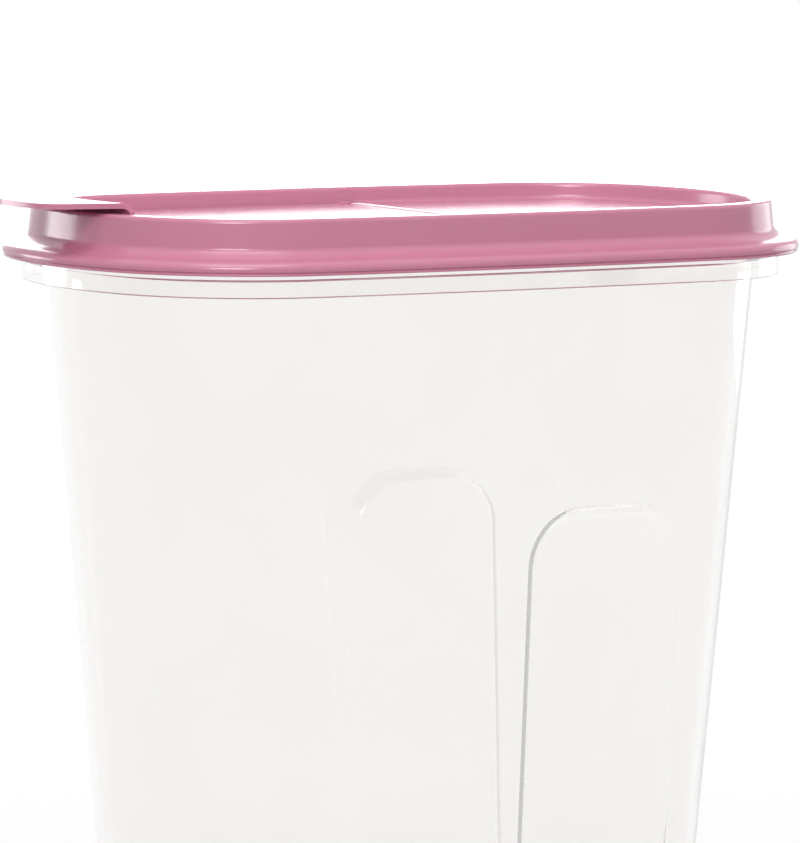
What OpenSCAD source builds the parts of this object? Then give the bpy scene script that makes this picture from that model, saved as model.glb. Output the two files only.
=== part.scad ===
// Dry-food container with a press-on lid and a flip spout.
// Origin: centre of the base, on the surface it stands on.
// +Z up, +X along the long side away from the spout, millimetres.

/* [Outline] */
// Length over the lid's lip
lip_length = 200; // [185:1:220]
// Width over the lid's lip
lip_width = 116; // [104:1:130]
// Bow radius of the long sides, at the lip
side_bow_r = 900; // [700:10:1200]
// Bow radius of the short ends, at the lip
end_bow_r = 85; // [78:1:100]
// Corner radius, at the lip
corner_r = 45; // [42:1:50]

/* [Container] */
// Height of the lid's lip above the base
lip_z = 226; // [180:1:260]
// Wall of the clear container
wall = 1.4; // [1:0.1:2]
// Draft of the two long walls, degrees
side_draft = 3; // [1.5:0.1:3.5]
// Draft of the two end walls, degrees
end_draft = 5.2; // [2:0.1:6]
// Radius between the walls and the base
base_r = 9; // [5:0.5:12]
// Thickness of the base
base_t = 1.8; // [1.4:0.1:3]
// Width of the shoulder between the neck and the walls
shoulder_w = 0.8; // [0.6:0.1:1.6]
// Distance of the collar in from the lip's edge
collar_out = 4.8; // [4.4:0.1:5.2]
// Drop of the collar under the rim flange
collar_h = 5.5; // [4:0.1:8]

/* [Grip] */
// Distance of the grips' middle from the container's middle
grip_x = 31; // [24:1:34]
// Width of each grip recess
grip_w = 43; // [34:1:46]
// Top of the grips, below the lip
grip_top = 61; // [50:1:80]
// Bottom of the grips, above the base
grip_bottom = 34; // [26:1:60]
// Corner radius of the grips
grip_r = 14; // [8:1:17]
// Depth of the grips
grip_depth = 3.6; // [2:0.1:5]
// Width of the slope round each grip
grip_slope = 2.2; // [1:0.1:3.5]

/* [Lid] */
// Wall of the lid and the flap
lid_wall = 1.5; // [1.2:0.1:1.8]
// Distance from the lip's edge in to the foot of the raised rim
lip_w = 6.2; // [5.5:0.1:7.5]
// Thickness of the lip's edge under its middle line
lip_t = 1.65; // [1.4:0.05:2.2]
// Height of the raised rim above the lip
rim_h = 11; // [10:0.1:14]
// Drop from the rim's top to the fixed panel
recess_d = 4.1; // [3.5:0.1:5]
// Clearance between the lid and the container's rim
rim_gap = 0.3; // [0.2:0.05:0.5]
// Reach of the seal below the lip's middle line
seal_reach = 1.2; // [0.6:0.1:1.3]

/* [Spout] */
// Place of the flap's hinge along the lid
hinge_x = 10; // [4:1:16]
// Radius of the flap's hinge barrel
barrel_r = 2.1; // [2:0.1:2.4]
// Height of the hinge barrel over the fixed panel
barrel_proud = 0.7; // [0.4:0.1:1]
// Radius of the hinge pins
pin_r = 1.3; // [1:0.1:1.4]
// Running clearance of the pins in their lugs
pin_gap = 0.08; // [0.04:0.01:0.1]
// Thickness of each hinge lug
lug_t = 5; // [4:0.5:6]
// Reach of a pin into its lug
pin_reach = 3.4; // [2.5:0.1:3.6]
// Clearance round the flap
flap_gap = 0.45; // [0.35:0.05:0.6]
// Thickness of the flap's plate
flap_t = 1.7; // [1.4:0.1:2]
// Gap between the flap's plate and the floor of its bay
flap_rest = 0.3; // [0.2:0.05:0.4]
// Length of the pouring hole
hole_l = 54; // [40:1:58]
// Width of the pouring hole
hole_w = 60; // [44:1:64]
// Corner radius of the pouring hole
hole_r = 15; // [8:1:20]
// Width of the ledge between the pouring hole and the recess's end
ledge_w = 9; // [8:0.5:12]
// Depth of the flap's plug under its plate
plug_h = 3.6; // [2.5:0.1:5]
// Clearance round the plug
plug_gap = 0.35; // [0.3:0.05:0.5]
// Width of the thumb tab at its end
tab_w = 29; // [24:0.5:36]
// Width of the thumb tab at its root
tab_root_w = 35.5; // [30:0.5:42]
// Overhang of the thumb tab past the lip
tab_reach = 6.4; // [4:0.2:10]
// Gap between the rim and the thumb tab above it
tab_gap = 1.2; // [0.8:0.1:2]
// Thickness of the thumb tab
tab_t = 1.3; // [1.1:0.1:1.6]
// Corner radius of the thumb tab
tab_corner_r = 8; // [4:0.5:10]

/* [Hidden] */

$fn = 48;
eps = 0.01;

// Steps of the outline's arcs, per quarter
end_steps = 3;
corner_steps = 10;
side_steps = 3;
grip_steps = 6;
ring_n = 4 * (end_steps + corner_steps + side_steps);

clear_colour = [0.93, 0.94, 0.95, 0.35];
pink = [0.80, 0.53, 0.64];

// Stack of the rim, as distances in from the lip's edge
rim_draft = 0.6;
rim_out = lip_w + rim_draft;
channel_out = rim_out + lid_wall;
neck_out = channel_out + rim_gap;
neck_in = neck_out + wall;
seal_out = neck_in + rim_gap;
seal_in = seal_out + lid_wall;
wall_out = neck_in + shoulder_w;
wall_in = wall_out + wall;
collar_in = collar_out + wall;

// Levels
flange_z = lip_z - lip_t;
shoulder_z = flange_z - wall;
collar_z = flange_z - collar_h;
rim_z = lip_z + rim_h;
panel_z = rim_z - recess_d;
deck_z = panel_z - flap_t;
flap_z = deck_z + flap_rest;
hinge_z = panel_z + barrel_proud - barrel_r;
neck_play = 0.5;
neck_z = rim_z - lid_wall - neck_play;

// Hinge
barrel_gap = 0.4;
lug_proud = 0.3;
trough_r = barrel_r + barrel_gap;
recess_end = lip_length / 2 - seal_in;
lug_out = lip_width / 2 - seal_in;
lug_in = lug_out - lug_t;
lug_r = barrel_r + lug_proud;

// Ends of the pouring hole and the thumb tab
hole_x = -recess_end + ledge_w;
tab_x = -lip_length / 2 - tab_reach;
tab_z = rim_z + tab_gap;

// Reach of the grips' cutting blocks outside the wall
grip_outside = 8;

// One quarter of the outline: end arc, corner arc and side arc share tangents
function quarter(hl, hw, re, rs, rc) =
    let (ex = hl - re,
         sy = hw - rs,
         d = norm([ex, sy]),
         p = re - rc,
         q = rs - rc,
         a = (p * p - q * q + d * d) / (2 * d),
         h = sqrt(p * p - a * a),
         cx = ex - (a * ex + h * sy) / d,
         cy = (a * sy - h * ex) / d,
         ends = atan2(cy, cx - ex),
         sides = atan2(cx, cy - sy))
    [
        for (i = [0 : end_steps - 1])
            [ex, 0] + re * dir(ends * i / end_steps),
        for (i = [0 : corner_steps - 1])
            [cx, cy] + rc * dir(ends + (90 - sides - ends) * i / corner_steps),
        for (i = [0 : side_steps - 1])
            [0, sy] + rs * dir(90 - sides + sides * i / side_steps)
    ];

function dir(angle) = [cos(angle), sin(angle)];

// The whole outline, anticlockwise from the +X end
function outline(hl, hw, re, rs, rc) =
    let (q = quarter(hl, hw, re, rs, rc),
         b = [for (i = [len(q) - 1 : -1 : 1]) q[i]])
    concat(q, [[0, hw]],
           [for (p = b) [-p.x, p.y]],
           [for (p = q) [-p.x, -p.y]], [[0, -hw]],
           [for (p = b) [p.x, -p.y]]);

// The lip's outline, drawn in by a distance
function lip_outline(inset) =
    outline(lip_length / 2 - inset, lip_width / 2 - inset,
            end_bow_r - inset, side_bow_r - inset, corner_r - inset);

// The container's outline, narrowed by both drafts at a depth below its shoulder
function wall_outline(inset, depth) =
    let (side = inset + depth * tan(side_draft),
         end = inset + depth * tan(end_draft))
    outline(lip_length / 2 - end, lip_width / 2 - side,
            end_bow_r - side, side_bow_r - side, corner_r - side);

function at_height(points, z) = [for (p = points) [p.x, p.y, z]];

// Triangles between neighbouring rings of n points each
function skin_faces(rings, n, closed) =
    [
        for (j = [0 : rings - (closed ? 1 : 2)])
            for (i = [0 : n - 1])
                let (a = j * n + i,
                     b = j * n + (i + 1) % n,
                     up = n * (j + 1 < rings ? 1 : 1 - rings))
                each [[a, a + up, b + up], [a, b + up, b]]
    ];

// Closed solid through rings, with a flat cap at each end
module skin(rings) {
    n = len(rings[0]);
    last = (len(rings) - 1) * n;
    caps = [[for (i = [0 : n - 1]) i], [for (i = [n - 1 : -1 : 0]) last + i]];
    polyhedron([for (r = rings) each r], concat(skin_faces(len(rings), n, false), caps), convexity = 8);
}

// Closed ring swept round the outline through a loop of [inset, z]
module lip_sweep(profile) {
    rings = [for (p = profile) at_height(lip_outline(p[0]), p[1])];
    polyhedron([for (r = rings) each r], skin_faces(len(rings), ring_n, true), convexity = 8);
}

// Arc in a profile, as [inset, z] points; angles as seen with insets to the right
function turn(centre, r, from, to, steps = 3) =
    [for (i = [0 : steps]) centre + r * dir(from + (to - from) * i / steps)];

module rounded_rect(x, w, l, r) {
    translate([x + r, -w / 2]) square([l - 2 * r, w]);
    translate([x, -w / 2 + r]) square([l, w - 2 * r]);
    for (cx = [x + r, x + l - r])
        for (cy = [-w / 2 + r, w / 2 - r])
            translate([cx, cy]) circle(r);
}

// Cylinder along Y between two distances from the middle plane, on the hinge's axis
module hinge_cylinder(r, from, to) {
    translate([hinge_x, to, hinge_z])
        rotate([90, 0, 0])
            cylinder(r = r, h = to - from);
}

// Slab of the lip's outline drawn in by a distance, between two places along X
module outline_slab(inset, z, t, from, to) {
    translate([0, 0, z])
        linear_extrude(height = t)
            intersection() {
                polygon(lip_outline(inset));
                translate([from, -lip_width]) square([to - from, 2 * lip_width]);
            }
}

// ---- Clear container ----

function wall_ring(p) = at_height(wall_outline(p[0], shoulder_z - p[1]), p[1]);

function rim_ring(p) = at_height(lip_outline(p[0]), p[1]);

// Everything inside the outer surface: base, walls, collar, flange and neck
module container_outside() {
    edge = 0.35;
    fillet = 0.9;
    base = turn([wall_out + base_r, base_r], base_r, 270, 180, 5);
    rim = concat(
        turn([wall_out - fillet, shoulder_z - fillet], fillet, 0, 90, 2),
        [[collar_in, shoulder_z]],
        turn([collar_in - edge, collar_z + edge], edge, 0, -90, 2),
        turn([collar_out + edge, collar_z + edge], edge, 270, 180, 2),
        turn([collar_out + edge, flange_z - edge], edge, 180, 90, 2),
        [[neck_out, flange_z]],
        turn([neck_out + wall / 2, neck_z - wall / 2], wall / 2, 180, 90, 2));
    skin(concat([for (p = base) wall_ring(p)], [for (p = rim) rim_ring(p)]));
}

// The space inside, from the floor up through the neck
module container_inside() {
    edge = 0.35;
    floor_r = base_r - wall;
    floor = turn([wall_in + floor_r, base_t + floor_r], floor_r, 270, 180, 4);
    neck = concat(
        turn([wall_in - edge, flange_z - edge], edge, 0, 90, 2),
        [[neck_in, flange_z]],
        turn([neck_in - wall / 2, neck_z - wall / 2], wall / 2, 0, 60, 2),
        [[neck_in - wall / 4, neck_z + wall]]);
    skin(concat([for (p = floor) wall_ring(p)], [for (p = neck) rim_ring(p)]));
}

// Outline of a grip in the plane of its opening, drawn in by a distance, at a depth
function grip_ring(inset, depth) =
    let (r = grip_r - inset,
         x = grip_w / 2 - grip_r,
         low = grip_bottom + grip_r,
         high = lip_z - grip_top - grip_r,
         corners = [[x, high], [-x, high], [-x, low], [x, low]])
    [
        for (k = [0 : 3])
            for (i = [0 : grip_steps])
                let (p = corners[k] + r * dir(90 * k + 90 * i / grip_steps))
                [grip_x - p.x, depth, p.y]
    ];

// Block of one grip, sunk square to the long wall on the -Y side; grow thickens it
module grip_block(grow) {
    top = lip_z - grip_top;
    face_y = wall_out + (shoulder_z - top) * tan(side_draft) - lip_width / 2;
    fillet = grip_slope / 2;
    translate([0, face_y, top])
        rotate([side_draft, 0, 0])
            translate([0, 0, -top])
                skin([grip_ring(-grow / 2, -grip_outside),
                      grip_ring(-grow / 2, 0),
                      grip_ring(grip_slope - fillet / 2 - grow / 2, grip_depth + grow - fillet / 2),
                      grip_ring(grip_slope + fillet / 2 - grow / 2, grip_depth + grow)]);
}

module container_body() {
    color(clear_colour)
        difference() {
            container_outside();
            difference() {
                container_inside();
                grip_block(wall);
                mirror([0, 1, 0]) grip_block(wall);
            }
            grip_block(0);
            mirror([0, 1, 0]) grip_block(0);
        }
}

// ---- Lid ----

// The lip, the raised rim and the seal: an inverted channel that grips the container's neck
module lid_rim() {
    bead = 0.45;
    lead = 0.4;
    crown = 1.1;
    lip_sweep(concat(
        // underside: the seat on the flange and the hollow behind the lip
        [[channel_out - lead, flange_z], [collar_out - lead, flange_z], [collar_out - lead, lip_z]],
        [[bead + lid_wall, lip_z - lead], [bead + lid_wall, flange_z]],
        // bead, groove and rounded edge of the lip
        [[bead, flange_z], [bead / 2, flange_z + 0.35], [bead, flange_z + 0.7], [0.1, flange_z + 0.95]],
        [[0, lip_z - 0.1], [0.15, lip_z + 0.45], [0.6, lip_z + 1.05], [1.4, lip_z + 1.5]],
        // cove up to the foot of the rim
        [[lip_w * 0.42, lip_z + 1.85], [lip_w * 0.63, lip_z + 2.3], [lip_w * 0.81, lip_z + 2.95]],
        [[lip_w * 0.94, lip_z + 3.6], [lip_w, lip_z + 4.4]],
        // crown of the rim, then the recess's wall and the seal
        turn([rim_out + crown, rim_z - crown], crown, 180, 90),
        turn([seal_in - lead - crown, rim_z - crown], crown, 90, 0),
        [[seal_in, panel_z], [seal_in, lip_z - seal_reach + lead], [seal_in - lead, lip_z - seal_reach]],
        [[seal_out + lead, lip_z - seal_reach], [seal_out, lip_z - seal_reach + 2 * lead]],
        // roof and outer wall of the channel
        [[seal_out, rim_z - lid_wall - lead], [seal_out - lead, rim_z - lid_wall]],
        [[channel_out + lead, rim_z - lid_wall], [channel_out, rim_z - lid_wall - lead]],
        [[channel_out, flange_z + 2 * lead]]));
}

module lid() {
    mid_seal = (seal_out + seal_in) / 2;
    step_x = hinge_x + trough_r;
    riser_x = step_x + lid_wall;
    under_z = deck_z - lid_wall;
    color(pink)
        difference() {
            union() {
                lid_rim();
                // flap bay, riser and fixed panel
                outline_slab(mid_seal, under_z, lid_wall, -lip_length, riser_x);
                outline_slab(mid_seal, under_z, panel_z - under_z, step_x, riser_x);
                outline_slab(mid_seal, panel_z - lid_wall, lid_wall, step_x, lip_length);
                // trough under the hinge barrel
                intersection() {
                    hinge_cylinder(trough_r + lid_wall, eps - lug_out, lug_out - eps);
                    translate([step_x - 2 * trough_r - lid_wall, -lip_width, lip_z])
                        cube([2 * trough_r + 2 * lid_wall, 2 * lip_width, deck_z - lip_z]);
                }
                for (side = [0, 1])
                    mirror([0, side, 0]) {
                        hinge_cylinder(lug_r, lug_in, lug_out + lid_wall / 2);
                        translate([hinge_x - lug_r, lug_in, under_z])
                            cube([2 * lug_r, lug_t + lid_wall / 2, hinge_z - under_z]);
                    }
            }
            hinge_cylinder(trough_r, -lug_in, lug_in);
            for (side = [0, 1])
                mirror([0, side, 0])
                    hinge_cylinder(pin_r + pin_gap, lug_in - lug_t, lug_in + pin_reach + flap_gap);
            translate([0, 0, under_z - eps])
                linear_extrude(height = lid_wall + 2 * eps)
                    rounded_rect(hole_x, hole_w, hole_l, hole_r);
        }
}

// ---- Flip spout ----

// Section of the tab's bend over the rim, as radius from the end bow's centre and height
function tab_section() =
    let (bend_in = 1.6,
         bend_out = 1.8,
         wall_r = end_bow_r - seal_in - flap_gap,
         top = flap_z + flap_t,
         low = [wall_r - tab_t - bend_in, top + bend_in],
         high = [wall_r + bend_out, tab_z - bend_out],
         tip_r = end_bow_r + tab_reach,
         nose = tab_t / 2)
    concat(
        [[low.x - bend_in, flap_z + eps], [low.x, flap_z + eps]],
        turn(low, bend_in + tab_t, -70, 0),
        turn(high, bend_out, 180, 90, 4),
        turn([tip_r - nose, tab_z + nose], nose, -90, 90, 4),
        turn(high, bend_out + tab_t, 90, 180, 5),
        turn(low, bend_in, 0, -90, 3),
        [[low.x - bend_in, top]]);

module thumb_tab() {
    root_x = -recess_end + 2 * flap_t + 2 * tab_t;
    intersection() {
        translate([end_bow_r - lip_length / 2, 0, 0])
            rotate_extrude($fn = 192)
                polygon(tab_section());
        translate([0, 0, flap_z])
            linear_extrude(height = 2 * rim_h) {
                rounded_rect(tab_x, tab_w, root_x - tab_x, tab_corner_r);
                polygon([[tab_x + tab_corner_r, tab_w / 2], [root_x, tab_root_w / 2],
                         [root_x, -tab_root_w / 2], [tab_x + tab_corner_r, -tab_w / 2]]);
            }
    }
}

module spout_flap() {
    side = lug_in - flap_gap;
    color(pink) {
        // plate in the recess, notched at the hinge lugs
        outline_slab(seal_in + flap_gap, flap_z, flap_t, -lip_length, hinge_x - lug_r - flap_gap);
        translate([hinge_x - 2 * lug_r, -side, flap_z]) cube([2 * lug_r, 2 * side, flap_t]);
        // hinge barrel and its two pins
        hinge_cylinder(barrel_r, -side, side);
        hinge_cylinder(pin_r, -lug_in - pin_reach, lug_in + pin_reach);
        // plug of the pouring hole
        translate([0, 0, flap_z - plug_h])
            linear_extrude(height = plug_h + flap_t / 2)
                difference() {
                    rounded_rect(hole_x + plug_gap, hole_w - 2 * plug_gap, hole_l - 2 * plug_gap, hole_r - plug_gap);
                    rounded_rect(hole_x + plug_gap + lid_wall, hole_w - 2 * plug_gap - 2 * lid_wall,
                                 hole_l - 2 * plug_gap - 2 * lid_wall, hole_r - plug_gap - lid_wall);
                }
        thumb_tab();
    }
}

container_body();
lid();
spout_flap();
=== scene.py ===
from math import atan2, cos, hypot, pi, radians, sin, sqrt, tan

import bmesh
import bpy
from mathutils import Matrix, Vector


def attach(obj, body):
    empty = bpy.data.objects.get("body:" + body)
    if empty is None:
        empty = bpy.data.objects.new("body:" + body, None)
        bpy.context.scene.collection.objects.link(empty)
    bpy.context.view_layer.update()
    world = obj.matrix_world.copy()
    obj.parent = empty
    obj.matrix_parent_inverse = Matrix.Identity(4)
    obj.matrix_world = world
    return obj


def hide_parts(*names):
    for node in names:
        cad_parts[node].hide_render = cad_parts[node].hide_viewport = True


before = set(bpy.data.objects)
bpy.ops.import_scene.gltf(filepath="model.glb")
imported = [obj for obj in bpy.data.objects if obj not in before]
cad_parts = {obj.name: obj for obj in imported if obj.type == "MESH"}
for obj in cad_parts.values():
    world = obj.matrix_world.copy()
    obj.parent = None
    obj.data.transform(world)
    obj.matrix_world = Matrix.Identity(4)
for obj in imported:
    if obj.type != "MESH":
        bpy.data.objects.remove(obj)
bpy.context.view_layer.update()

# ---- Camera, floor and lamps ----
# The camera stands a little above the lid, off the long side and towards the spout.
# The floor and the surroundings are plain white, and the lamps are large and soft.

mm = 0.001
lip_z = 226

camera_across, camera_above = 1350.57, 99.45
camera_azimuth, camera_aim = radians(31.8), radians(0.0434)
camera_pitch, camera_roll = radians(6.024), radians(0.534)
picture_width, focal_pixels, film, view_reach = 843, 5585.46, 36, 50

spot = Vector((-camera_across * sin(camera_azimuth), -camera_across * cos(camera_azimuth),
               lip_z + camera_above)) * mm
heading = atan2(-spot.y, -spot.x) + camera_aim
bpy.ops.object.camera_add()
camera = bpy.context.object
camera.data.sensor_width = film
camera.data.lens = focal_pixels * film / picture_width
camera.data.clip_end = view_reach
camera.matrix_world = (Matrix.Translation(spot) @ Matrix.Rotation(heading - pi / 2, 4, "Z")
                       @ Matrix.Rotation(pi / 2 - camera_pitch, 4, "X")
                       @ Matrix.Rotation(camera_roll, 4, "Z"))
bpy.context.scene.camera = camera
bpy.context.scene.view_settings.view_transform = "Standard"


def white_to_the_eye(tree, lit):
    """Strength 1 to rays from the camera, mirrors and glass, and the given strength to the rest."""
    path = tree.nodes.new("ShaderNodeLightPath")
    seen = path.outputs["Is Camera Ray"]
    for kind in ("Is Glossy Ray", "Is Transmission Ray"):
        either = tree.nodes.new("ShaderNodeMath")
        either.operation = "MAXIMUM"
        tree.links.new(seen, either.inputs[0])
        tree.links.new(path.outputs[kind], either.inputs[1])
        seen = either.outputs[0]
    strength = tree.nodes.new("ShaderNodeMapRange")
    strength.inputs["To Min"].default_value = lit
    tree.links.new(seen, strength.inputs["Value"])
    return strength.outputs["Result"]


room_light = 0.5
world = bpy.data.worlds.new("white studio")
bpy.context.scene.world = world
world.use_nodes = True
surroundings = world.node_tree.nodes["Background"]
surroundings.inputs["Color"].default_value = (1, 1, 1, 1)
world.node_tree.links.new(white_to_the_eye(world.node_tree, room_light),
                          surroundings.inputs["Strength"])

floor_reach, floor_drop = 4, 0.0002
bpy.ops.object.select_all(action="DESELECT")
bpy.ops.mesh.primitive_circle_add(vertices=128, radius=floor_reach, fill_type="NGON",
                                  location=(0, 0, -floor_drop))
floor = bpy.context.object
floor.name = "studio_floor"

paint_grey, paint_from, paint_to = 0.86, 0.12, 0.75
floor_paint = bpy.data.materials.new("studio floor")
floor_paint.use_nodes = True
tree = floor_paint.node_tree
matt = tree.nodes["Principled BSDF"]
matt.inputs["Base Color"].default_value = (paint_grey, paint_grey, paint_grey, 1)
matt.inputs["Roughness"].default_value = 0.9
glow = tree.nodes.new("ShaderNodeEmission")
tree.links.new(white_to_the_eye(tree, 0), glow.inputs["Strength"])
place = tree.nodes.new("ShaderNodeTexCoord")
reach = tree.nodes.new("ShaderNodeVectorMath")
reach.operation = "LENGTH"
tree.links.new(place.outputs["Object"], reach.inputs[0])
away = tree.nodes.new("ShaderNodeMapRange")
away.interpolation_type = "SMOOTHERSTEP"
away.inputs["From Min"].default_value = paint_from
away.inputs["From Max"].default_value = paint_to
tree.links.new(reach.outputs["Value"], away.inputs["Value"])
blend = tree.nodes.new("ShaderNodeMixShader")
tree.links.new(away.outputs["Result"], blend.inputs["Fac"])
tree.links.new(matt.outputs["BSDF"], blend.inputs[1])
tree.links.new(glow.outputs["Emission"], blend.inputs[2])
tree.links.new(blend.outputs["Shader"], tree.nodes["Material Output"].inputs["Surface"])
floor.data.materials.append(floor_paint)

lit_point = Vector((0, 0, 0.2))
for name, at, size, watts in (("lamp_overhead", (-0.15, -0.25, 1.30), 0.8, 5.0),
                              ("lamp_front", (-0.80, -1.10, 1.00), 0.7, 12.0),
                              ("lamp_left", (-0.66, 1.25, 0.24), 0.5, 2.8),
                              ("lamp_right", (1.35, 0.30, 0.30), 0.9, 4.0),
                              ("lamp_behind", (0.78, 1.40, 0.60), 1.0, 8.0)):
    bpy.ops.object.light_add(type="AREA", location=at)
    lamp = bpy.context.object
    lamp.name = name
    lamp.data.shape = "DISK"
    lamp.data.size = size
    lamp.data.energy = watts
    lamp.visible_camera = False
    lamp.visible_transmission = False
    lamp.rotation_euler = (lit_point - Vector(at)).to_track_quat("-Z", "Y").to_euler()

# ---- Clear container ----
# One thin injection moulding in clear plastic: tapered walls with a grip sunk into each long
# side, and at the top a flange with a downturned collar and a neck that rises into the lid.

lip_length, lip_width = 200, 116
end_bow_r, side_bow_r, corner_r = 85, 900, 45
end_steps, corner_steps, side_steps = 8, 24, 12
weld = mm / 100
wall, base_t, base_r = 1.4, 1.8, 9
side_draft, end_draft = radians(3), radians(5.2)
collar_out, collar_h, shoulder_w = 4.8, 5.5, 0.8
neck_out, neck_in = 8.6, 10.0
wall_out = neck_in + shoulder_w
wall_in = wall_out + wall
collar_in = collar_out + wall
flange_z = lip_z - 1.65
shoulder_z = flange_z - wall
collar_z = flange_z - collar_h
neck_z = 235


def arc(centre, r, start, end, steps):
    """Points of a section on an arc, as inset from the lip's edge and level, by degrees."""
    turns = [radians(start + (end - start) * i / steps) for i in range(steps + 1)]
    return [(centre[0] + r * cos(t), centre[1] + r * sin(t)) for t in turns]


def outline_arcs(half_length, half_width, shrink):
    """The nine arcs of the bowed outline from the +X end, each as centre, angle and steps.

    A corner's centre lies where it is tangent to the end's arc and to the side's arc."""
    end_r, side_r, turn_r = end_bow_r - shrink, side_bow_r - shrink, corner_r - shrink
    end_x, side_y = half_length - end_r, half_width - side_r
    apart = hypot(end_x, side_y)
    to_end, to_side = end_r - turn_r, side_r - turn_r
    along = (to_end * to_end - to_side * to_side + apart * apart) / (2 * apart)
    across = sqrt(to_end * to_end - along * along)
    x, y = end_x - (along * end_x + across * side_y) / apart, (along * side_y - across * end_x) / apart
    end, side = atan2(y, x - end_x), atan2(x, y - side_y)
    turn = pi / 2 - end - side
    return [((end_x, 0), end, end_steps), ((x, y), turn, corner_steps),
            ((0, side_y), 2 * side, side_steps), ((-x, y), turn, corner_steps),
            ((-end_x, 0), 2 * end, 2 * end_steps), ((-x, -y), turn, corner_steps),
            ((0, -side_y), 2 * side, side_steps), ((x, -y), turn, corner_steps),
            ((end_x, 0), end, end_steps)]


def start_mesh(name):
    """Opens an empty mesh in edit mode, its object at the origin."""
    bpy.ops.object.select_all(action="DESELECT")
    bpy.ops.mesh.primitive_plane_add(size=mm)
    bpy.context.object.name = name
    bpy.context.object.data.name = name
    bpy.ops.object.mode_set(mode="EDIT")
    bpy.ops.mesh.delete(type="VERT")


def add_point(x, y, z):
    """A point from which a section or an outline is drawn on."""
    bpy.ops.mesh.primitive_plane_add(size=mm, location=(x * mm, y * mm, z * mm))
    bpy.ops.mesh.merge(type="CENTER")


def draw_outline(z, half_length, half_width, shrink):
    """The bowed outline at a level, spun arc by arc."""
    add_point(half_length, 0, z)
    for (x, y), angle, steps in outline_arcs(half_length, half_width, shrink):
        bpy.ops.mesh.spin(steps=steps, angle=angle, center=(x * mm, y * mm, z * mm), axis=(0, 0, -1))


def close_mesh():
    """Turns every face outwards and goes back to the object."""
    bpy.ops.mesh.select_all(action="SELECT")
    bpy.ops.mesh.normals_make_consistent(inside=False)
    if bmesh.from_edit_mesh(bpy.context.object.data).calc_volume(signed=True) < 0:
        bpy.ops.mesh.flip_normals()
    bpy.ops.object.mode_set(mode="OBJECT")
    return bpy.context.object


def in_turn(ring):
    """The points of a ring in the order of their direction from its middle, from +X on."""
    middle = sum((v.co for v in ring), Vector()) / len(ring)
    depth, height = [max(v.co[k] for v in ring) - min(v.co[k] for v in ring) for k in (1, 2)]
    up, slack = 1 if depth > height else 2, 0.005
    return sorted(ring, key=lambda v: (atan2(v.co[up] - middle[up], v.co.x - middle.x) + slack) % (2 * pi))


def loft(name, rings, draw=draw_outline, hollow=False):
    """Draws rings of equal counts and joins neighbours; the ends are filled, or joined if hollow."""
    start_mesh(name)
    bmesh.from_edit_mesh(bpy.context.object.data).verts.layers.int.new("ring")
    for k, ring in enumerate(rings, 1):
        draw(*ring)
        mesh = bmesh.from_edit_mesh(bpy.context.object.data)
        number = mesh.verts.layers.int["ring"]
        for v in mesh.verts:
            v[number] = v[number] or k
    bpy.ops.mesh.select_all(action="SELECT")
    bpy.ops.mesh.remove_doubles(threshold=weld)
    mesh = bmesh.from_edit_mesh(bpy.context.object.data)
    number = mesh.verts.layers.int["ring"]
    turns = [in_turn([v for v in mesh.verts if v[number] == k]) for k in range(1, len(rings) + 1)]
    for a, b in zip(turns, turns[1:] + ([turns[0]] if hollow else [])):
        for i in range(len(a)):
            mesh.faces.new((a[i - 1], a[i], b[i], b[i - 1]))
    if not hollow:
        mesh.faces.new(turns[0])
        mesh.faces.new(turns[-1])
    bmesh.update_edit_mesh(bpy.context.object.data)
    return close_mesh()


def combine(piece, tool, operation):
    """Joins a tool to a piece, or cuts it out, and deletes the tool."""
    bpy.ops.object.select_all(action="DESELECT")
    bpy.context.view_layer.objects.active = piece
    piece.select_set(True)
    bpy.ops.object.modifier_add(type="BOOLEAN")
    modifier = piece.modifiers[-1]
    modifier.solver = "EXACT"
    modifier.operation = operation
    modifier.object = tool
    bpy.ops.object.modifier_apply(modifier=modifier.name)
    bpy.data.objects.remove(tool)


def wall_ring(p):
    """The outline at a level of the tapered walls, for an inset measured at the shoulder."""
    side = p[0] + (shoulder_z - p[1]) * tan(side_draft)
    end = p[0] + (shoulder_z - p[1]) * tan(end_draft)
    return p[1], lip_length / 2 - end, lip_width / 2 - side, side


def lip_ring(p):
    """The outline at a level of the rim, for an inset from the lip's edge."""
    return p[1], lip_length / 2 - p[0], lip_width / 2 - p[0], p[0]


edge, shoulder_r = 0.35, 0.9
outer_base = arc((wall_out + base_r, base_r), base_r, 270, 180, 10)
outer_rim = (arc((wall_out - shoulder_r, shoulder_z - shoulder_r), shoulder_r, 0, 90, 5)
             + [(collar_in, shoulder_z)]
             + arc((collar_in - edge, collar_z + edge), edge, 0, -90, 3)
             + arc((collar_out + edge, collar_z + edge), edge, 270, 180, 3)
             + arc((collar_out + edge, flange_z - edge), edge, 180, 90, 3)
             + [(neck_out, flange_z)]
             + arc((neck_out + wall / 2, neck_z - wall / 2), wall / 2, 180, 90, 5))
floor_r = base_r - wall
inner_rim = (arc((neck_in - wall / 2, neck_z - wall / 2), wall / 2, 72, 0, 4) + [(neck_in, flange_z)]
             + arc((wall_in - edge, flange_z - edge), edge, 90, 0, 3))
inner_base = arc((wall_in + floor_r, base_t + floor_r), floor_r, 180, 270, 8)
container = loft("clear_container", [wall_ring(p) for p in outer_base]
                 + [lip_ring(p) for p in outer_rim + inner_rim] + [wall_ring(p) for p in inner_base])

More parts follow.
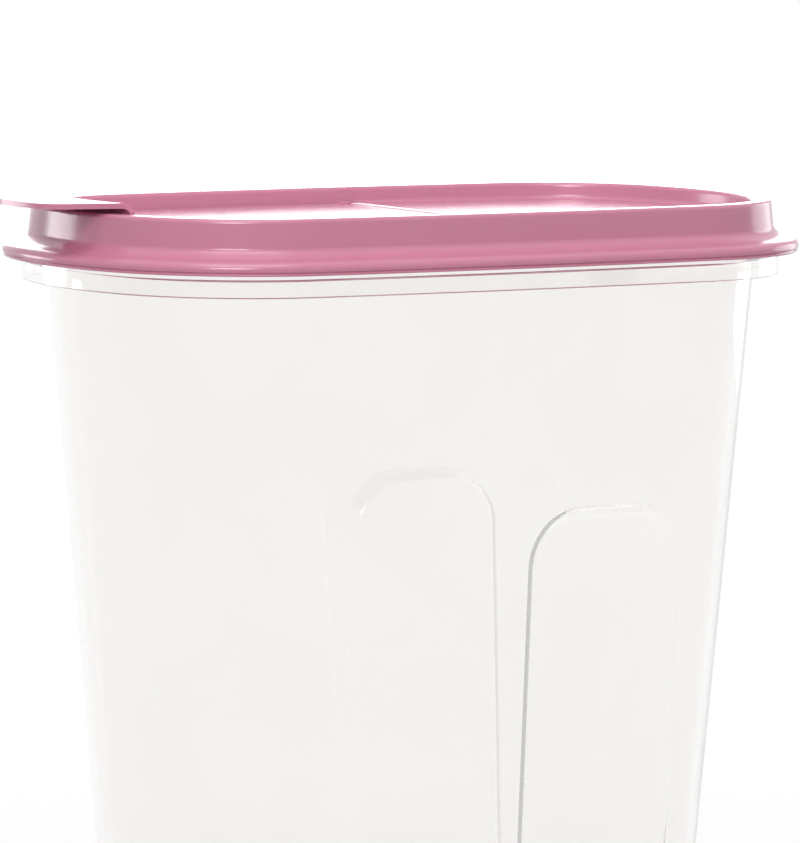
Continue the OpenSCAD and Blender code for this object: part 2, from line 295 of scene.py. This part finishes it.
# A grip is a dish with a rounded edge, a slope and a rounded foot. A pad of the wall's thickness is
# joined on inside first, and the dish is then cut from outside.
grip_x, grip_w, grip_top, grip_bottom, grip_r, grip_depth = 31, 43, lip_z - 61, 34, 14, 3.6
grip_slope, grip_lead = radians(58), radians(10)
grip_edge_r, grip_foot_r, grip_proud, grip_least = 2.1, 1.9, 0.45, 0.3
grip_steps, grip_points, pad_insets, cut_from = 5, 48, (13, 7), -8


def wall_half_width(x, z):
    """Half the container's width at a place along it and a level."""
    half_length, half_width, shrink = wall_ring((wall_out, z))[1:]
    corner, side = outline_arcs(half_length, half_width, shrink)[1:3]
    corner_x, corner_y = corner[0]
    if abs(x) < (side_bow_r - shrink) * sin(side[1] / 2):
        return side[0][1] + sqrt((side_bow_r - shrink) ** 2 - x * x)
    return corner_y + sqrt((corner_r - shrink) ** 2 - (abs(x) - corner_x) ** 2)


def grip_section(thickness):
    """The side of a grip as inset from its outline, depth and extra depth, from outside to its foot."""
    edge_from = grip_edge_r * tan(grip_slope / 2)
    foot_at = grip_depth / tan(grip_slope) + grip_foot_r * tan(grip_slope / 2)
    turns = [grip_lead + (grip_slope - grip_lead) * i / grip_steps for i in range(grip_steps + 1)]
    section = [(-edge_from + grip_edge_r * sin(t), grip_edge_r * (1 - cos(t)), t) for t in turns]
    turns = [grip_slope * (grip_steps - i) / grip_steps for i in range(grip_steps + 1)]
    section += [(foot_at - grip_foot_r * sin(t), grip_depth - grip_foot_r * (1 - cos(t)), t) for t in turns]
    inset, depth, slope = section[0]
    section.insert(0, (inset - (grip_proud + depth) / tan(slope), -grip_proud, slope))
    return [(inset - thickness * sin(slope), depth, thickness * cos(slope))
            for inset, depth, slope in section]


def draw_grip(inset, depth, extra, side):
    """A rounded outline on the wall of one side: a circle whose quarters are moved apart."""
    r = grip_r - inset
    bpy.ops.mesh.primitive_circle_add(vertices=grip_points, radius=r * mm, location=(0, 0, 0),
                                      rotation=(pi / 2, pi / grip_points, 0))
    mesh = bmesh.from_edit_mesh(bpy.context.object.data)
    for v in [v for v in mesh.verts if v.select]:
        x = grip_x + v.co.x / mm + (grip_w / 2 - grip_r) * (1 if v.co.x > 0 else -1)
        z = v.co.z / mm + (grip_top - grip_r if v.co.z > 0 else grip_bottom + grip_r)
        half, middle = wall_half_width(x, z), wall_half_width(0, z)
        reach = max(grip_depth - (middle - half), grip_least) / grip_depth
        y = half - (depth * reach if depth > 0 else depth) - extra
        v.co = Vector((x, side * y, z)) * mm
    bmesh.update_edit_mesh(bpy.context.object.data)


for side in (-1, 1):
    pad = [(*p, side) for p in grip_section(wall)]
    pad = [(inset, *pad[0][1:]) for inset in pad_insets] + pad
    combine(container, loft("grip_pad", pad, draw_grip), "UNION")
    cut = [(*p, side) for p in grip_section(0)]
    combine(container, loft("grip_cut", [(cut[0][0], cut_from, 0, side)] + cut, draw_grip), "DIFFERENCE")


def smooth_faces(piece, angle):
    """Shades a piece smoothly up to an angle, with the large faces kept true."""
    bpy.ops.object.select_all(action="DESELECT")
    bpy.context.view_layer.objects.active = piece
    piece.select_set(True)
    bpy.ops.object.shade_smooth_by_angle(angle=radians(angle))
    bpy.ops.object.modifier_add(type="WEIGHTED_NORMAL")
    piece.modifiers[-1].keep_sharp = True
    bpy.ops.object.modifier_apply(modifier=piece.modifiers[-1].name)


smooth_faces(container, 40)


def noise(tree, scale, detail):
    """A noise texture in the piece's own coordinates, its size given in spots per millimetre."""
    texture = tree.nodes.new("ShaderNodeTexNoise")
    texture.inputs["Scale"].default_value = scale / mm
    texture.inputs["Detail"].default_value = detail
    tree.links.new(tree.nodes["Texture Coordinate"].outputs["Object"], texture.inputs["Vector"])
    return texture.outputs["Fac"]


def ramp(tree, source, low, high, start=0.3, end=0.7):
    """Maps a number from one range to another."""
    mapped = tree.nodes.new("ShaderNodeMapRange")
    mapped.inputs["From Min"].default_value = start
    mapped.inputs["From Max"].default_value = end
    mapped.inputs["To Min"].default_value = low
    mapped.inputs["To Max"].default_value = high
    tree.links.new(source, mapped.inputs["Value"])
    return mapped.outputs["Result"]


def tint(tree, source, first, second):
    """A colour between two by a number from 0 to 1."""
    mix = tree.nodes.new("ShaderNodeMix")
    mix.data_type = "RGBA"
    mix.inputs["A"].default_value = (*first, 1)
    mix.inputs["B"].default_value = (*second, 1)
    tree.links.new(source, mix.inputs["Factor"])
    return mix.outputs["Result"]


def relief(tree, source, shader, depth, strength):
    """Bumps of the given depth in millimetres."""
    bump = tree.nodes.new("ShaderNodeBump")
    bump.inputs["Distance"].default_value = depth * mm
    bump.inputs["Strength"].default_value = strength
    tree.links.new(source, bump.inputs["Height"])
    tree.links.new(bump.outputs["Normal"], shader.inputs["Normal"])


def within(tree, axis, middle, half):
    """1 where a coordinate lies within a range in millimetres, 0 outside it."""
    apart = tree.nodes.new("ShaderNodeSeparateXYZ")
    tree.links.new(tree.nodes["Texture Coordinate"].outputs["Object"], apart.inputs[0])
    compare = tree.nodes.new("ShaderNodeMath")
    compare.operation = "COMPARE"
    compare.inputs[1].default_value = middle * mm
    compare.inputs[2].default_value = half * mm
    tree.links.new(apart.outputs[axis], compare.inputs[0])
    return compare.outputs[0]


def combined(tree, operation, first, second):
    """Two numbers multiplied or added; the second may be a plain value."""
    result = tree.nodes.new("ShaderNodeMath")
    result.operation = operation
    tree.links.new(first, result.inputs[0])
    if isinstance(second, float):
        result.inputs[1].default_value = second
    else:
        tree.links.new(second, result.inputs[1])
    return result.outputs[0]


clear_pale, clear_warm = (0.952, 0.945, 0.937), (0.937, 0.928, 0.92)
# The last colour on the next line is for a painted glow at the wall's edges, not the plastic's own colour.
shadow_tint, painted_edge_glow = (0.94, 0.935, 0.93, 1), (1, 0.99, 0.98, 1)
plastic_ior, gloss, scuffed, grain, grain_margin = 1.49, 0.015, 0.035, 0.09, 2
glow_deep, glow_mirrored, flow_depth, flow_strength = 0.35, 0.22, 0.25, 0.25

clear_plastic = bpy.data.materials.new("clear plastic")
clear_plastic.use_nodes = True
tree = clear_plastic.node_tree
clear = tree.nodes["Principled BSDF"]
clear.inputs["Transmission Weight"].default_value = 1
clear.inputs["IOR"].default_value = plastic_ior
tree.nodes.new("ShaderNodeTexCoord")
flow = noise(tree, 0.03, 2)
tree.links.new(tint(tree, ramp(tree, flow, 0, 1), clear_pale, clear_warm), clear.inputs["Base Color"])
relief(tree, flow, clear, flow_depth, flow_strength)

# The grips have a fine matt grain, the rest is glossy with faint scuffs.
grip_middle, grip_half = (grip_top + grip_bottom) / 2, (grip_top - grip_bottom) / 2
grips = combined(tree, "MULTIPLY", within(tree, "X", grip_x, grip_w / 2 - grain_margin),
                 within(tree, "Z", grip_middle, grip_half - grain_margin))
scuffs = ramp(tree, noise(tree, 0.4, 3), gloss, scuffed)
tree.links.new(combined(tree, "ADD", scuffs, combined(tree, "MULTIPLY", grips, grain)),
               clear.inputs["Roughness"])

# Painted light: the wall glows near-white once a ray has bounced or been mirrored many times, so its edges
# show bright instead of dark.
path = tree.nodes.new("ShaderNodeLightPath")
clear.inputs["Emission Color"].default_value = painted_edge_glow
painted_glow_strength = combined(tree, "ADD", ramp(tree, path.outputs["Ray Depth"], 0, glow_deep, 6, 10),
                  ramp(tree, path.outputs["Glossy Depth"], 0, glow_mirrored, 2, 4))
tree.links.new(painted_glow_strength, clear.inputs["Emission Strength"])

# The lamps shine through the wall, so its shadow is pale.
lamplight = tree.nodes.new("ShaderNodeBsdfTransparent")
lamplight.inputs["Color"].default_value = shadow_tint
shade = tree.nodes.new("ShaderNodeMixShader")
tree.links.new(path.outputs["Is Shadow Ray"], shade.inputs["Fac"])
tree.links.new(clear.outputs["BSDF"], shade.inputs[1])
tree.links.new(lamplight.outputs["BSDF"], shade.inputs[2])
tree.links.new(shade.outputs["Shader"], tree.nodes["Material Output"].inputs["Surface"])
container.data.materials.clear()
container.data.materials.append(clear_plastic)
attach(container, "container")
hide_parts("container_body")

# ---- Lid ----
# A press-on lid moulded in old-rose plastic: a wide lip and a raised rim round a sunk deck, with
# the pouring hole, a step up to the fixed panel and a trough between two lugs for the hinge.

lid_wall, lip_w, rim_out, channel_out = 1.5, 6.2, 6.8, 8.3
seal_out, seal_in, seal_z = 10.3, 11.8, lip_z - 1.2
mid_seal = (seal_out + seal_in) / 2
rim_z, panel_z, deck_z = 237, 232.9, 231.2
crown_r, lead, bead, bead_groove = 1.1, 0.4, 0.45, 0.1


def curve(points, steps):
    """A smooth section through the given points, each stretch led by the points on either side."""
    path, last = [], len(points) - 1
    for i in range(last):
        a, b, c, d = [Vector(points[max(0, min(k, last))]) for k in range(i - 1, i + 3)]
        for t in [j / steps for j in range(steps)]:
            path.append((2 * b + (c - a) * t + (2 * a - 5 * b + 4 * c - d) * t * t
                         + (3 * b - a - 3 * c + d) * t * t * t) / 2)
    return [tuple(point) for point in path] + [points[-1]]


lip = curve([(bead, flange_z), (bead / 2, flange_z + 0.35), (bead, flange_z + 0.7),
             (bead_groove, flange_z + 0.95), (0.01, lip_z - 0.1), (0.15, lip_z + 0.45),
             (0.6, lip_z + 1.05), (1.4, lip_z + 1.5), (lip_w * 0.42, lip_z + 1.85),
             (lip_w * 0.63, lip_z + 2.3), (lip_w * 0.81, lip_z + 2.95),
             (lip_w * 0.94, lip_z + 3.6), (lip_w, lip_z + 4.4)], 2)
rim = ([(channel_out - lead, flange_z), (collar_out - lead, flange_z), (collar_out - lead, lip_z),
        (bead + lid_wall, lip_z - lead), (bead + lid_wall, flange_z + 0.2)] + lip
       + arc((rim_out + crown_r, rim_z - crown_r), crown_r, 180, 90, 6)
       + arc((seal_in - lead - crown_r, rim_z - crown_r), crown_r, 90, 0, 6)
       + [(seal_in, panel_z), (seal_in, seal_z + lead), (seal_in - lead, seal_z),
          (seal_out + lead, seal_z), (seal_out, seal_z + 2 * lead), (seal_out, rim_z - lid_wall - lead),
          (seal_out - lead, rim_z - lid_wall), (channel_out + lead, rim_z - lid_wall),
          (channel_out, rim_z - lid_wall - lead), (channel_out, flange_z + 2 * lead)])
lid = loft("rose_lid", [lip_ring(p) for p in rim], hollow=True)


def draw_section(points, y):
    """A section across the hinge, drawn point by point and filled."""
    add_point(points[0][0], y, points[0][1])
    for (x0, z0), (x1, z1) in zip(points, points[1:]):
        step = ((x1 - x0) * mm, 0, (z1 - z0) * mm)
        bpy.ops.mesh.extrude_region_move(TRANSFORM_OT_translate={"value": step})
    bpy.ops.mesh.select_all(action="SELECT")
    bpy.ops.mesh.edge_face_add()


def strip(name, points, start, end):
    """A section drawn out from one place across the lid to another."""
    start_mesh(name)
    draw_section(points, start)
    bpy.ops.mesh.extrude_region_move(TRANSFORM_OT_translate={"value": (0, (end - start) * mm, 0)})
    return close_mesh()


def rod(name, x, z, r, start, end):
    """A round bar across the lid."""
    bpy.ops.object.select_all(action="DESELECT")
    bpy.ops.mesh.primitive_cylinder_add(vertices=64, radius=r * mm, depth=(end - start) * mm,
                                        location=(x * mm, (start + end) / 2 * mm, z * mm),
                                        rotation=(pi / 2, 0, 0))
    bpy.context.object.name = name
    bpy.ops.object.transform_apply(location=True, rotation=True, scale=True)
    return bpy.context.object


def block(name, x, y, z):
    """A box from its three ranges."""
    bpy.ops.object.select_all(action="DESELECT")
    bpy.ops.mesh.primitive_cube_add(size=1, location=[sum(ends) / 2 * mm for ends in (x, y, z)],
                                    scale=[(ends[1] - ends[0]) * mm for ends in (x, y, z)])
    bpy.context.object.name = name
    bpy.ops.object.transform_apply(location=True, rotation=True, scale=True)
    return bpy.context.object


def trim(piece, x, beyond):
    """Cuts a piece square across and closes it; beyond takes away the part with larger x."""
    bpy.ops.object.select_all(action="DESELECT")
    bpy.context.view_layer.objects.active = piece
    piece.select_set(True)
    bpy.ops.object.mode_set(mode="EDIT")
    bpy.ops.mesh.select_all(action="SELECT")
    bpy.ops.mesh.bisect(plane_co=(x * mm, 0, 0), plane_no=(1, 0, 0), use_fill=True,
                        clear_outer=beyond, clear_inner=not beyond)
    close_mesh()


hinge_x, hinge_z, trough_r, lug_r, lug_in, lug_out = 10, 231.5, 2.5, 2.4, 41.2, 46.2
step_x = hinge_x + trough_r
riser_x, under_z = step_x + lid_wall, deck_z - lid_wall
step_r, spare, beyond_x, beyond_y = 0.4, 2, 120, 80
deck = loft("deck", [lip_ring((mid_seal, under_z - spare)), lip_ring((mid_seal, panel_z + spare))])
step_edge = [(step_x + step_r - step_r * cos(radians(t)), panel_z - step_r + step_r * sin(radians(t)))
             for t in (22.5, 45, 67.5, 90)]
combine(deck, strip("deck_section", [(-beyond_x, under_z), (-beyond_x, deck_z), (step_x, deck_z),
                                     (step_x, panel_z - step_r)] + step_edge
                    + [(beyond_x, panel_z), (beyond_x, panel_z - lid_wall), (riser_x, panel_z - lid_wall),
                       (riser_x, under_z)], -beyond_y, beyond_y), "INTERSECT")

hole_x, hole_l, hole_w, hole_r, hole_points = -79.2, 54, 60, 15, 64
hole_edge, hole_edge_from, hole_edge_to = -0.35, deck_z - 0.3, deck_z + 0.05


def draw_hole(z, inset):
    """A rounded outline of the pouring hole: a circle whose quarters are moved apart."""
    bpy.ops.mesh.primitive_circle_add(vertices=hole_points, radius=(hole_r - inset) * mm,
                                      location=(0, 0, z * mm), rotation=(0, 0, pi / hole_points))
    mesh = bmesh.from_edit_mesh(bpy.context.object.data)
    for v in [v for v in mesh.verts if v.select]:
        v.co.x += (hole_x + (hole_l - hole_r if v.co.x > 0 else hole_r)) * mm
        v.co.y += (hole_w / 2 - hole_r) * (mm if v.co.y > 0 else -mm)
    bmesh.update_edit_mesh(bpy.context.object.data)


combine(deck, loft("hole_cut", [(under_z - 1, 0), (hole_edge_from, 0), (hole_edge_to, hole_edge),
                                (deck_z + spare, hole_edge)], draw_hole), "DIFFERENCE")
combine(lid, deck, "UNION")

fillet_r, fillet_sunk, fillet_from = 1.1, 0.7, step_x + 0.6
fillet = [(mid_seal, panel_z - fillet_sunk), (mid_seal, panel_z + fillet_r)]
fillet += arc((seal_in + fillet_r, panel_z + fillet_r), fillet_r, 180, 266, 6)
fillet += [(seal_in + fillet_r, panel_z - fillet_sunk)]
fillet = loft("panel_fillet", [lip_ring(p) for p in fillet], hollow=True)
trim(fillet, fillet_from, beyond=False)
combine(lid, fillet, "UNION")

trough_end, hair = lug_out + 0.7, 0.02
bore_r, bore_end = 1.38, 45.05
trough = rod("trough", hinge_x, hinge_z, trough_r + lid_wall, -trough_end, trough_end)
combine(trough, block("above_deck", (0, 2 * hinge_x), (-60, 60), (deck_z - hair, 240)), "DIFFERENCE")
combine(lid, trough, "UNION")
foot_x = (hinge_x - lug_r + hair, hinge_x + lug_r - hair)
for side in (-1, 1):
    start, end = sorted((side * lug_in, side * (lug_out + lid_wall / 2)))
    combine(lid, rod("lug", hinge_x, hinge_z, lug_r, start, end), "UNION")
    combine(lid, block("lug_foot", foot_x, (start, end), (under_z + 0.1, hinge_z)), "UNION")
combine(lid, rod("trough_cut", hinge_x, hinge_z, trough_r + 0.01, -lug_in, lug_in), "DIFFERENCE")
combine(lid, rod("pin_bore", hinge_x, hinge_z, bore_r, -bore_end, bore_end), "DIFFERENCE")
smooth_faces(lid, 32)

rose_light, rose_deep, rose_under = (0.56, 0.212, 0.318), (0.545, 0.202, 0.304), (1, 0.45, 0.55)
rose_depth, rose_share, rose_ior, polished, dulled = 1.6, 0.35, 1.5, 0.15, 0.2

rose_plastic = bpy.data.materials.new("rose plastic")
rose_plastic.use_nodes = True
tree = rose_plastic.node_tree
rose = tree.nodes["Principled BSDF"]
tree.nodes.new("ShaderNodeTexCoord")
tree.links.new(tint(tree, ramp(tree, noise(tree, 0.02, 3), 0, 1), rose_light, rose_deep),
               rose.inputs["Base Color"])
rose.inputs["Subsurface Weight"].default_value = rose_share
rose.inputs["Subsurface Radius"].default_value = rose_under
rose.inputs["Subsurface Scale"].default_value = rose_depth * mm
rose.inputs["IOR"].default_value = rose_ior
tree.links.new(ramp(tree, noise(tree, 0.5, 4), polished, dulled), rose.inputs["Roughness"])
relief(tree, noise(tree, 0.12, 2), rose, 0.03, 0.4)
lid.data.materials.clear()
lid.data.materials.append(rose_plastic)
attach(lid, "lid")
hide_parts("lid")

# ---- Flip spout flap ----
# A thin moulded flap in the same rose plastic: a plate over the deck with a plug ring under it, a
# barrel with two pins that press into the lugs, and a thumb tab that rises over the rim.

flap_gap, flap_z, flap_t, under_r, edge_r = 0.45, 231.5, 1.7, 0.3, 0.5
flap_in, flap_top, flap_end = seal_in + flap_gap, flap_z + flap_t, hinge_x - lug_r - flap_gap
plate = (arc((flap_in + under_r, flap_z + under_r), under_r, 270, 180, 3)
         + arc((flap_in + edge_r, flap_top - edge_r), edge_r, 180, 90, 4))
flap = loft("rose_flap", [lip_ring(p) for p in plate])
trim(flap, flap_end, beyond=True)

barrel_r, pin_r, pin_end = 2.1, 1.3, 44.6
tongue_w, tongue_root = lug_in - flap_gap, 1.5
combine(flap, block("tongue", (flap_end - tongue_root, hinge_x), (-tongue_w, tongue_w),
                    (flap_z + hair, flap_top - hair)), "UNION")
combine(flap, rod("barrel", hinge_x, hinge_z, barrel_r, -tongue_w, tongue_w), "UNION")
combine(flap, rod("pins", hinge_x, hinge_z, pin_r, -pin_end, pin_end), "UNION")

plug_out, plug_bottom, plug_top, plug_lead, plug_edge = 0.35, flap_z - 3.6, flap_z + 0.85, 0.4, 0.3
plug_in = plug_out + lid_wall
combine(flap, loft("plug", [(plug_top, plug_out), (plug_bottom + plug_lead, plug_out),
                            (plug_bottom, plug_out + plug_lead), (plug_bottom, plug_in - plug_edge),
                            (plug_bottom + plug_edge, plug_in), (plug_top, plug_in)],
                   draw_hole, hollow=True), "UNION")

# The thumb tab rises in two bends and follows the rim's end, so it is laid out by distance from the
# centre of the end's bow and thickened afterwards. It widens from the tip to the root.
tab_t, tab_z, tab_tip, tab_half, root_half, tab_corner = 1.3, 238.19, 91.33, 14.5, 17.75, 8
low_bend, high_bend, tab_sunk, tab_reach, tab_edge = 1.6, 1.8, 0.95, 0.4, 0.45
centre_x, root_x = end_bow_r - lip_length / 2, -82.2
straight_x = centre_x - tab_tip + tab_corner
wall_r = end_bow_r - flap_in
low_r, high_r, mid_z = low_bend + tab_t / 2, high_bend + tab_t / 2, tab_z + tab_t / 2
low = (wall_r - tab_t - low_bend, flap_top + low_bend)
high = (wall_r + high_bend, tab_z - high_bend)
rise = ([(low[0] - low_r - tab_reach, flap_top - tab_sunk)] + arc(low, low_r, -90, 0, 8)
        + [(low[0] + low_r, (low[1] + high[1]) / 2)] + arc(high, high_r, 180, 90, 8))
tab_rows, tab_columns, narrowings = 14, 48, 4
points, faces = [], []
for j in range(tab_columns + 1):
    share = sin(pi / 2 * (2 * j / tab_columns - 1))
    y = share * tab_half
    over = max(abs(y) - (tab_half - tab_corner), 0)
    bowed_x = centre_x - sqrt(tab_tip ** 2 - y * y)
    corner_x = straight_x - sqrt(tab_corner ** 2 - over ** 2)
    tip = hypot(max(bowed_x, corner_x) - centre_x, y)
    path = rise + [(high[0] + (tip - high[0]) * (k + 1) / tab_rows, mid_z) for k in range(tab_rows)]
    for distance, z in path:
        y = share * root_half
        for _ in range(narrowings):
            x = centre_x - sqrt(distance ** 2 - y * y)
            widened = min(max((x - straight_x) / (root_x - straight_x), 0), 1)
            y = share * (tab_half + (root_half - tab_half) * widened)
        points.append(Vector((x, y, z)) * mm)
n = len(path)
for j in range(tab_columns):
    for k in range(n - 1):
        faces.append((j * n + k, j * n + k + 1, (j + 1) * n + k + 1, (j + 1) * n + k))
tab_mesh = bpy.data.meshes.new("thumb_tab")
tab_mesh.from_pydata(points, [], faces)
tab = bpy.data.objects.new("thumb_tab", tab_mesh)
bpy.context.collection.objects.link(tab)
bpy.ops.object.select_all(action="DESELECT")
bpy.context.view_layer.objects.active = tab
tab.select_set(True)
for kind, settings in (("SOLIDIFY", {"thickness": tab_t * mm, "offset": 0}),
                       ("BEVEL", {"width": tab_edge * mm, "segments": 3, "limit_method": "ANGLE",
                                  "angle_limit": radians(50)})):
    bpy.ops.object.modifier_add(type=kind)
    for setting, value in settings.items():
        setattr(tab.modifiers[-1], setting, value)
    bpy.ops.object.modifier_apply(modifier=tab.modifiers[-1].name)
bpy.ops.object.mode_set(mode="EDIT")
close_mesh()
combine(flap, tab, "UNION")
smooth_faces(flap, 32)

flap_plastic = rose_plastic.copy()
flap_plastic.name = "rose plastic of the flap"
flap.data.materials.clear()
flap.data.materials.append(flap_plastic)
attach(flap, "flap")
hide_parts("spout_flap")
